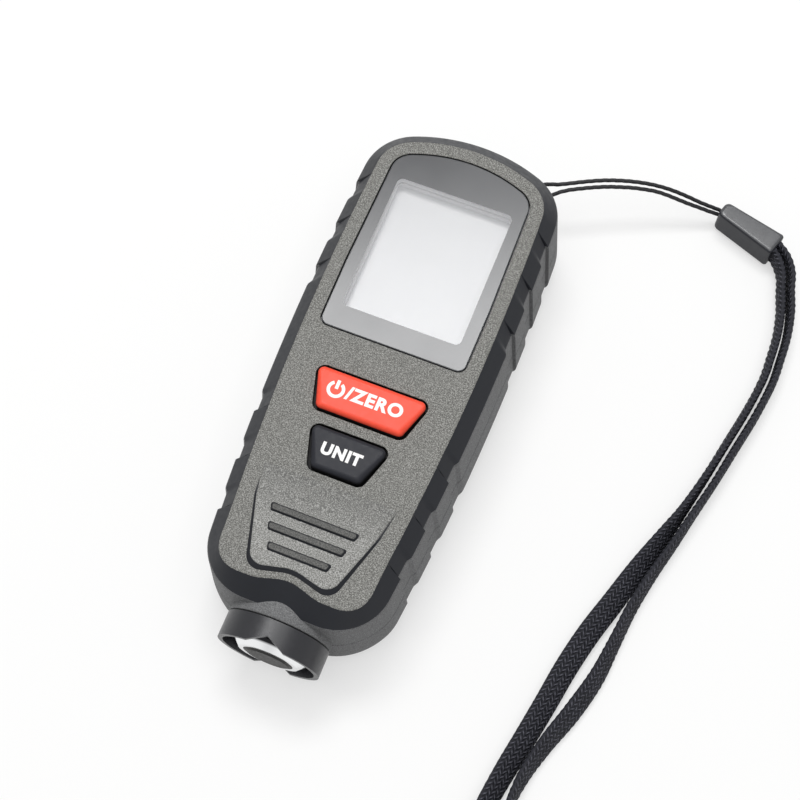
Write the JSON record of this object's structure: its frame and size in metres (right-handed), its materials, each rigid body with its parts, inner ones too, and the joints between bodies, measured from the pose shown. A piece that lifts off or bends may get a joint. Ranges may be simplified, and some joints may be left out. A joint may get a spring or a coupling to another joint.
{
  "type": "coating thickness gauge",
  "caption": "Hand-held coating thickness gauge with a display, red zero key, unit key, spring-loaded round probe at one end and a wrist strap at the other.",
  "frame": {"origin": "middle of the housing's footprint on its flat back, strap left out", "axes": "+Z out of the face with the display, +Y towards the strap end, -Y towards the probe"},
  "size_m": [0.0979, 0.1624, 0.0275],
  "materials": {
    "housing_plastic": "textured dark grey ABS",
    "cover_plastic": "fine-textured dark grey ABS",
    "lens_glass": "clear acrylic, printed dark grey behind its border",
    "lcd_glass": "pale grey liquid crystal glass",
    "light_diffuser": "white acrylic light guide",
    "frame_plastic": "pale grey moulded frame",
    "contact_rubber": "layered conductive rubber",
    "board_laminate": "green solder mask on glass laminate",
    "chip_epoxy": "black moulded epoxy",
    "key_red": "satin red-orange silicone-coated cap",
    "key_black": "satin black cap",
    "switch_body": "black nylon",
    "sleeve_plastic": "satin black acetal",
    "guide_bronze": "sintered bronze",
    "holder_plastic": "grey moulded nylon",
    "head_chrome": "bright chrome",
    "tip_hard": "polished dark ceramic",
    "coil_copper": "enamelled copper winding",
    "core_ferrite": "ferrite",
    "spring_steel": "nickel-plated spring steel",
    "cell_wrap": "plain plastic cell wrap",
    "contact_plate": "nickel-plated steel",
    "screw_steel": "black-oxide steel",
    "cord_nylon": "black nylon string",
    "ferrule_plastic": "black moulded plastic",
    "strap_braid": "black braided polyester"
  },
  "bodies": {
    "housing": {"front_shell": "housing_plastic", "rear_shell": "housing_plastic", "display_lens": "lens_glass", "lcd_panel": "lcd_glass", "lcd_backlight": "light_diffuser", "lcd_frame": "frame_plastic", "zebra_strip": "contact_rubber", "main_board": "board_laminate", "controller_chip": "chip_epoxy", "zero_switch": "switch_body", "unit_switch": "switch_body", "probe_sleeve": "sleeve_plastic", "probe_guide": "guide_bronze", "probe_holder": "holder_plastic", "probe_spring": "spring_steel", "battery_left": "cell_wrap", "battery_right": "cell_wrap", "contact_link": "contact_plate", "contact_positive": "contact_plate", "contact_negative": "contact_plate", "case_screws": "screw_steel", "board_screws": "screw_steel", "strap_string": "cord_nylon", "strap_ferrule": "ferrule_plastic", "wrist_strap": "strap_braid"},
    "zero_key": {"zero_button": "key_red"},
    "unit_key": {"unit_button": "key_black"},
    "probe": {"probe_head": "head_chrome", "probe_tip": "tip_hard", "probe_coil": "coil_copper", "probe_core": "core_ferrite"},
    "hatch": {"battery_cover": "cover_plastic"}
  },
  "joints": [
    {"name": "zero_press", "type": "slide", "parent": "housing", "child": "zero_key", "axis": [0, 0, -1], "range_m": [0, 0.0005], "stiffness_N_per_m": 3000},
    {"name": "unit_press", "type": "slide", "parent": "housing", "child": "unit_key", "axis": [0, 0, -1], "range_m": [0, 0.0005], "stiffness_N_per_m": 3000},
    {"name": "probe_plunge", "type": "slide", "parent": "housing", "child": "probe", "axis": [0, 1, 0], "range_m": [0, 0.0015], "stiffness_N_per_m": 1200, "springref_m": -0.0005, "deforming": ["probe_spring"]},
    {"name": "hatch_hinge", "type": "hinge", "parent": "housing", "child": "hatch", "pos_m": [0, 0.0422, 0.0002], "axis": [1, 0, 0], "range_deg": [0, 60]}
  ]
}
